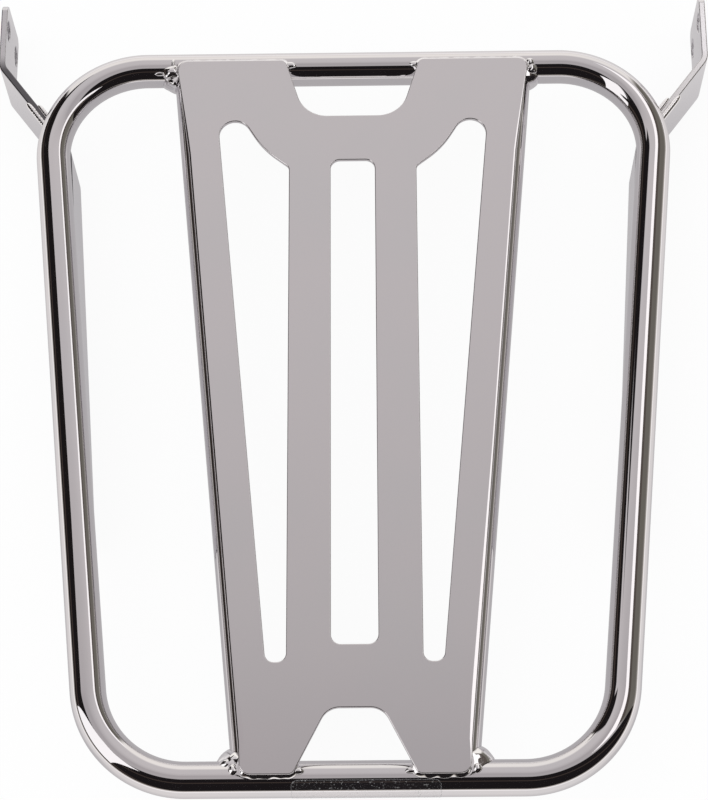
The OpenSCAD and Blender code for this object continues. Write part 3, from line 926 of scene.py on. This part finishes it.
# For mirror rays the floor is painted: a painted shadow under the rack, paler past it, and a
# painted glow brighter than white far off.
past_rack = (fx - 0.125).maths("MAXIMUM", fy - 0.155)
painted_floor_shade_and_glow = sheet.blend(
    past_rack.step(-0.02, 0.06), (0.50, 0.485, 0.495), (0.82, 0.795, 0.785))
painted_floor_shade_and_glow = sheet.blend(past_rack.step(0.15, 0.5), painted_floor_shade_and_glow, (1.15, 1.13, 1.12))
shaded = sheet.node("ShaderNodeBsdfDiffuse", None, {"Color": (0.93, 0.93, 0.935, 1)})
plain = sheet.node("ShaderNodeEmission", None, {"Color": (1, 1, 1, 1), "Strength": 1.0})
glow = sheet.node("ShaderNodeEmission", None, {"Color": painted_floor_shade_and_glow, "Strength": 1.0})
camera_ray = sheet.node("ShaderNodeLightPath", out=0)
mirror_ray = sheet.node("ShaderNodeLightPath", out=3)
mixed = sheet.node("ShaderNodeMixShader", None, {0: camera_ray * 0.93, 1: shaded, 2: plain})
mixed = sheet.node("ShaderNodeMixShader", None, {0: mirror_ray * 0.93, 1: mixed, 2: glow})
sheet.node("ShaderNodeOutputMaterial", None, {"Surface": mixed})
floor_mesh.materials.append(floor_paint)


def hung_card(name, corners, colour):
    """A card above or beside the rack that only the metal sees."""
    mesh = bpy.data.meshes.new(name)
    mesh.from_pydata(corners, [], [range(len(corners))])
    card_paint = bpy.data.materials.new(name)
    sheet = Sheet(card_paint)
    shine = sheet.node("ShaderNodeEmission", None, {"Color": (*colour, 1), "Strength": 1.0})
    sheet.node("ShaderNodeOutputMaterial", None, {"Surface": shine})
    mesh.materials.append(card_paint)
    hung = bpy.data.objects.new(name, mesh)
    bpy.context.scene.collection.objects.link(hung)
    hung.visible_camera = False
    hung.visible_diffuse = False
    hung.visible_shadow = False
    hung.visible_transmission = False


card_z = 0.36
for name, near_x, far_x, colour in (("white_strip", 0.17, 0.285, (1.25, 1.22, 1.22)),
                                    ("olive_strip", 0.285, 0.42, (0.10, 0.085, 0.075))):
    hung_card(name, [(near_x, -0.15, card_z), (far_x, -0.15, card_z),
                     (far_x, 0.45, card_z), (near_x, 0.45, card_z)], colour)
hung_card("black_cloth", [
    (x, y, card_z) for x, y in ((-0.29, 0.05), (-0.29, 0.6), (-0.55, 0.6), (-0.55, -0.1),
                                (-0.40, -0.1))], (0.012, 0.010, 0.010))
hung_card("softbox", [(-1.02, -0.10, 0.22), (-0.81, -0.67, 0.22), (-0.81, -0.67, 2.3),
                      (-1.02, -0.10, 2.3)], (1.2, 1.18, 1.18))

world = bpy.data.worlds.new("studio")
bpy.context.scene.world = world
sheet = Sheet(world)
way = sheet.node("ShaderNodeTexCoord", out=0)
wx, wy, wz = sheet.split(way)
degree = 180 / math.pi
ahead = wy.maths("ARCTAN2", wz) * degree
aside = wx.maths("ARCTAN2", wz) * degree
fall = wz.maths("ARCCOSINE") * degree
heading = wx.maths("ARCTAN2", wy) * degree
ceiling = sheet.node("ShaderNodeValToRGB", {"stops": [
    (0.0, (0.50, 0.478, 0.482)), (0.37, (0.455, 0.428, 0.437)), (0.44, (0.53, 0.505, 0.51)),
    (0.55, (0.59, 0.562, 0.568)), (0.65, (0.625, 0.598, 0.602)), (1.0, (0.63, 0.605, 0.61))]},
    {0: (ahead + 10) / 60})
cloth = sheet.blend(
    ahead.band(-34, -29, 3) + aside.band(-74, -66, 4), (0.012, 0.010, 0.011), (0.055, 0.042, 0.036))
olive = sheet.blend(fall.step(74, 92), (0.165, 0.155, 0.135), (0.36, 0.35, 0.33))
cream = sheet.blend(ahead.step(74, 92), (0.98, 0.95, 0.91), (0.84, 0.81, 0.79))
seen = sheet.blend(ahead.step(51, 64), ceiling, cream)
seen = sheet.blend(heading.band(30, 96, 6) * aside.step(39.5, 41), seen, olive)
seen = sheet.blend(1 - ahead.step(-8.5, -6), seen, cloth)
left_side = heading.band(-97, -54, 3) * (fall - heading - 115).step(-1.5, 1.5)
left_patch = heading.band(-57, -34, 3) * fall.step(39, 42)
seen = sheet.blend(left_side.maths("MAXIMUM", left_patch), seen, cloth)
horizon = fall.step(82, 88) * (1 - heading.band(-60, 60, 20))
seen = sheet.blend(horizon, seen, (0.58, 0.54, 0.50))
mirror_ray = sheet.node("ShaderNodeLightPath", out=3)
camera_ray = sheet.node("ShaderNodeLightPath", out=0)
lit = sheet.blend(camera_ray, (0.86, 0.86, 0.87), (1.0, 1.0, 1.0))
lit = sheet.blend(mirror_ray, lit, seen)
back = sheet.node("ShaderNodeBackground", None, {"Color": lit, "Strength": 1.0})
sheet.node("ShaderNodeOutputWorld", None, {"Surface": back})

lamp_place = Vector((-0.5, -0.3, 1.6))
lamp = bpy.data.lights.new("soft_lamp", "AREA")
lamp.shape = "RECTANGLE"
lamp.size, lamp.size_y = 1.2, 1.2
lamp.energy = 6
lamp_object = bpy.data.objects.new("soft_lamp", lamp)
lamp_object.location = lamp_place
lamp_object.rotation_euler = lamp_place.to_track_quat("Z", "Y").to_euler()
lamp_object.visible_glossy = False
bpy.context.scene.collection.objects.link(lamp_object)
